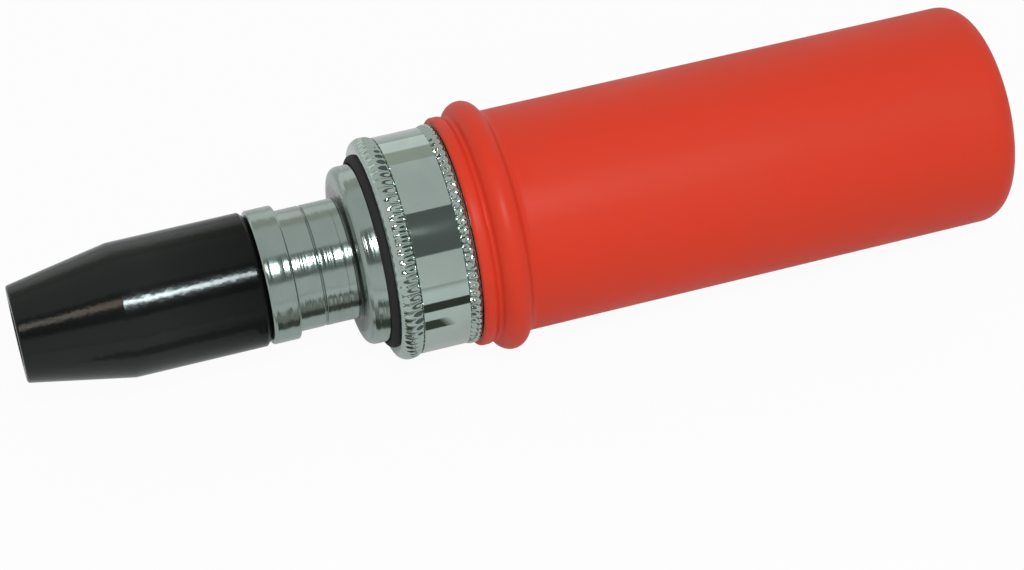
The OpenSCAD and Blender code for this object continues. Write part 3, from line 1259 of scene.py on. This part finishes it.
@dataclass
class CoilSpring:
    """A coil spring with a closed coil at each end, swept turn by turn."""

    name: str
    node: str
    body: Body
    joint: str
    base: Vector
    way: Vector
    side: Vector
    length: float
    radius: float
    wire: float
    coils: int
    travel: float
    far_end_fixed: bool
    steps: int = 28
    end_gap: float = 0.05
    closed_gap: float = 0.5

    def height(self, turns: float) -> float:
        """Works out how far the wire has climbed.

        Args:
            turns: Turns from the base.

        Returns:
            Height of the wire's centre over the base.
        """
        closed = self.wire + self.closed_gap
        pitch = (self.length - self.wire - 2.0 * self.end_gap - 2.0 * closed) / (self.coils - 2)
        start = self.wire / 2.0 + self.end_gap
        if turns < 1.0:
            return start + turns * closed
        if turns < self.coils - 1:
            return start + closed + (turns - 1.0) * pitch
        return start + closed + (self.coils - 2) * pitch + (turns - self.coils + 1) * closed

    def build(self) -> None:
        """Sweeps the wire, dresses the spring and gives it a mesh of its own."""
        clear()
        bpy.ops.mesh.primitive_circle_add(
            vertices=12,
            radius=self.wire / 2.0 * MM,
            fill_type="NGON",
            location=(self.radius * MM, 0.0, self.height(0.0) * MM),
            rotation=(math.pi / 2.0, 0.0, 0.0),
        )
        piece = bpy.context.object
        piece.name = piece.data.name = self.name
        bpy.ops.object.transform_apply()
        edit(Element.FACES)
        angle, centre = -math.tau / self.steps, (0.0, 0.0, 0.0)
        for i in range(self.coils * self.steps):
            rise = self.height((i + 1) / self.steps) - self.height(i / self.steps)
            move = {"value": (0.0, 0.0, rise * MM)}
            bpy.ops.mesh.extrude_region_move(TRANSFORM_OT_translate=move)
            bpy.ops.transform.rotate(value=angle, orient_axis="Z", center_override=centre)
        close()
        across = self.way.cross(self.side)
        frame = Matrix((self.side, across, self.way)).transposed().to_4x4()
        piece.data.transform(Matrix.Translation(self.base) @ frame)
        install(piece, self.body, SPRING_STEEL, self.node, crease=50.0)
        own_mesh(piece)


def springs() -> tuple[CoilSpring, CoilSpring]:
    """Sizes the springs.

    Returns:
        The main spring and the detent's spring at their seats.
    """
    drive = Spindle()
    main_spring = CoilSpring(
        "main_coil", "main_spring", Body.HANDLE, "strike_stroke",
        base=on_axis(82.55), way=AXIS, side=DOWN, far_end_fixed=True,
        length=50.9, radius=10.15, wire=3.6, coils=8, travel=drive.stroke,
    )
    detent_spring = CoilSpring(
        "detent_coil", "detent_spring", Body.SPINDLE, "detent_press",
        base=on_axis(drive.ball_station) + Vector((0.0, 0.0, drive.ball_seat * MM)),
        way=UP, side=AXIS, far_end_fixed=False,
        length=5.2, radius=1.55, wire=0.6, coils=4, travel=0.6,
    )
    return main_spring, detent_spring


@dataclass
class BareSolids:
    """The pieces whose solids are shown as they are, each with its finish."""

    finishes: dict[str, Finish] = field(
        default_factory=lambda: {
            "barrel": PLATED_TUBE,
            "striking_head": BRIGHT_STEEL,
            "head_pin": BRIGHT_STEEL,
            "cam_pin": BRIGHT_STEEL,
            "spring_seat": BRIGHT_STEEL,
            "thrust_washer": BRIGHT_STEEL,
            "detent_ball": POLISHED_CHROME,
            "bit_retaining_ring": SPRING_STEEL,
            "grease_o_ring": BLACK_RUBBER,
        }
    )

    def dress(self, nodes: dict[str, Object]) -> None:
        """Gives each solid its finish.

        Args:
            nodes: The loaded solids by name.
        """
        for name, finish in self.finishes.items():
            finish.coat(nodes[name])
            LOG.info("%s: %s", name, finish.name)


def aim(thing: Object, place: Vector, facing: Vector) -> None:
    """Puts a lamp, card or camera in its place and turns it to where it faces."""
    thing.location = place
    thing.rotation_euler = facing.to_track_quat("-Z", "Y").to_euler()


def leaning(x: float, lean: float, distance: float) -> tuple[Vector, Vector]:
    """Gives a place above the tool, and the direction from there to the tool's axis.

    Args:
        x: Where along the tool the place is, in metres.
        lean: Its angle in degrees, from straight up towards the front.
        distance: Its distance from the axis in metres.

    Returns:
        The place and the direction.
    """
    way = Vector((0.0, -math.sin(math.radians(lean)), math.cos(math.radians(lean))))
    return Vector((x, 0.0, AXIS_HEIGHT * MM)) + way * distance, -way


@dataclass(frozen=True)
class Card:
    """A card that only mirroring faces see.

    Attributes:
        name: Name of the card.
        place: Its middle, in metres.
        facing: The direction that it faces.
        size: Its width and height in metres.
        tone: Its light, as red, green and blue.
        fade: Length in metres over which it thins out towards the front of the tool, or towards
            the rear if it is below 0.
    """

    name: str
    place: Vector
    facing: Vector
    size: Point
    tone: Triple
    fade: float = 0.0

    def build(self) -> None:
        """Sets up the card."""
        clear()
        bpy.ops.mesh.primitive_plane_add(size=1.0)
        card = bpy.context.object
        card.name = self.name
        aim(card, self.place, self.facing)
        card.scale = (*self.size, 1.0)
        cloth, wiring = new_material(self.name + "_cloth")
        face = wiring.add("ShaderNodeEmission", {"Color": (*self.tone, 1.0), "Strength": 1.0})
        if self.fade:
            end = math.copysign(0.5, -self.fade)
            across = wiring.parts(wiring.coordinates())[0]
            share = wiring.span(across, end, end + self.fade / self.size[0], 0.0, 1.0)
            bare = wiring.add("ShaderNodeBsdfTransparent")
            inputs = {0: share, 1: bare.outputs[0], 2: face.outputs[0]}
            face = wiring.add("ShaderNodeMixShader", inputs)
        wiring.show(face)
        card.data.materials.append(cloth)
        for ray in ("camera", "diffuse", "shadow", "transmission"):
            setattr(card, "visible_" + ray, False)


@dataclass
class Studio:
    """A pale floor in a white tent, with a flash, cards and the photograph's camera."""

    focal_length: float = 101.3
    sensor: float = 36.0
    nearest: float = 0.01
    camera_place: Triple = (-0.091825, -0.2959, 0.3756)
    forward: Triple = (0.1896, 0.6114, -0.7683)
    tent_top: float = 0.6
    tent_rim: float = 0.68
    tent_fade: Point = (0.0, 0.9)
    floor_size: float = 12.0
    floor_tone: Colour = (0.68, 0.68, 0.68, 1.0)
    floor_glow: float = 0.95
    floor_mirror_glow: float = 0.12
    flash_x: float = -0.0155
    flash_lean: float = 31.0
    flash_distance: float = 0.462
    flash_size: Point = (0.103, 0.05)
    flash_power: float = 0.95
    flash_colour: Triple = (0.92, 0.97, 1.0)
    spill_lean: float = 28.0
    strip_height: float = 0.002
    # Tone of the painted shadow sheets on the floor nearest the tool.
    dark: Triple = (0.06, 0.066, 0.055)

    def cards(self) -> Iterable[Card]:
        """Gives the cards above, behind and on the floor before the tool.

        Returns:
            The cards, one by one.
        """
        spill, warm = (leaning(x, self.spill_lean, self.flash_distance) for x in (-0.25, -0.185))
        glow, shade = ((Vector((0.1, 0.6, z)), FRONT) for z in (0.12, 0.4))
        yield Card("dark_card", *leaning(0.15, 34.0, 0.75), (1.6, 0.63), (0.13, 0.138, 0.137))
        yield Card("spill_card", *spill, (0.09, 0.085), (3.9, 3.4, 3.1))
        yield Card("warm_card", *warm, (0.04, 0.085), (4.2, 2.2, 1.8))
        yield Card("back_glow", *glow, (1.4, 0.24), (0.86, 0.87, 0.85))
        yield Card("back_shade", *shade, (1.4, 0.28), (0.47, 0.47, 0.42))
        # Dark sheets on the floor that only the chrome sees. The first two are painted reflections
        # of the bits lying before the tool and of their shadows. The last two, nearest the tool,
        # are painted shadow: the tool's own shadow on the floor as its chrome mirrors it.
        for name, x, y, size, tone, fade in (
            ("floor_strip", 0.102, -0.069, (0.314, 0.028), (0.05, 0.054, 0.045), 0.04),
            ("mid_strip", -0.048, -0.0443, (0.064, 0.0215), (0.28, 0.285, 0.25), -0.012),
            ("near_shadow_strip", -0.03, -0.0275, (0.025, 0.012), self.dark, 0.0),
            ("near_shadow_blob", -0.0145, -0.035, (0.007, 0.01), self.dark, -0.002),
        ):
            yield Card(name, Vector((x, y, self.strip_height)), DOWN, size, tone, fade)

    def floor(self) -> None:
        """Lays the floor, which is white to the camera and dim in mirroring faces."""
        clear()
        bpy.ops.mesh.primitive_plane_add(size=self.floor_size)
        sheet = bpy.context.object
        sheet.name = "studio_floor"
        material, wiring = new_material("floor_paper")
        paper = wiring.add("ShaderNodeBsdfDiffuse", {"Color": self.floor_tone})
        glow = wiring.add("ShaderNodeEmission", {"Color": WHITE, "Strength": 1.0})
        path = wiring.add("ShaderNodeLightPath").outputs
        mirrored = wiring.math("MAXIMUM", path["Is Glossy Ray"], path["Is Transmission Ray"])
        mirrored = wiring.math("MULTIPLY", mirrored, self.floor_mirror_glow)
        share = wiring.math("MULTIPLY_ADD", path["Is Camera Ray"], self.floor_glow, mirrored)
        inputs = {0: share, 1: paper.outputs[0], 2: glow.outputs[0]}
        wiring.show(wiring.add("ShaderNodeMixShader", inputs))
        sheet.data.materials.append(material)

    def world(self) -> None:
        """Makes the tent: white to the camera, elsewhere a soft light that fades upwards."""
        scene = bpy.context.scene
        tent = bpy.data.worlds.new("tent")
        scene.world = tent
        tent.use_nodes = True
        wiring = Wiring(tent.node_tree)
        path = wiring.add("ShaderNodeLightPath").outputs
        height = wiring.parts(wiring.coordinates("Generated"))[2]
        light = wiring.span(height, *self.tent_fade, self.tent_rim, self.tent_top)
        strength = wiring.math("MAXIMUM", path["Is Camera Ray"], light)
        cloth = wiring.add("ShaderNodeBackground", {"Color": WHITE, "Strength": strength})
        wiring.add("ShaderNodeOutputWorld", {0: cloth.outputs[0]})
        scene.view_settings.view_transform = "Standard"

    def flash(self) -> None:
        """Hangs the flash, an area lamp."""
        data = bpy.data.lights.new("flash", "AREA")
        data.shape = "RECTANGLE"
        data.size, data.size_y = self.flash_size
        data.energy = self.flash_power
        data.color = self.flash_colour
        lamp = bpy.data.objects.new("flash", data)
        bpy.context.scene.collection.objects.link(lamp)
        aim(lamp, *leaning(self.flash_x, self.flash_lean, self.flash_distance))

    def camera(self) -> None:
        """Sets the camera at the photograph's angle."""
        data = bpy.data.cameras.new("photo_camera")
        data.lens = self.focal_length
        data.sensor_width = self.sensor
        data.sensor_fit = "HORIZONTAL"
        data.clip_start = self.nearest
        camera = bpy.data.objects.new("photo_camera", data)
        bpy.context.scene.collection.objects.link(camera)
        aim(camera, Vector(self.camera_place), Vector(self.forward))
        bpy.context.scene.camera = camera

    def build(self) -> None:
        """Sets up the floor, the tent, the camera, the flash and the cards."""
        self.floor()
        self.world()
        self.camera()
        self.flash()
        for card in self.cards():
            card.build()


def corners(box: tuple[Vector, Vector]) -> list[list[float]]:
    """Gives a box's two corners as plain lists of numbers."""
    return [[float(v) for v in corner] for corner in box]


def main() -> None:
    """Builds every piece in order."""
    logging.basicConfig(level=logging.INFO, format="%(name)s: %(message)s")
    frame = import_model()
    Studio().build()
    pieces = (GripSleeve(), KnurledCollar(), WiperSeal(), Spindle(), BitHolder(), *springs())
    for piece in pieces:
        piece.build()
    BareSolids().dress(frame["nodes"])


if __name__ == "__main__":
    main()
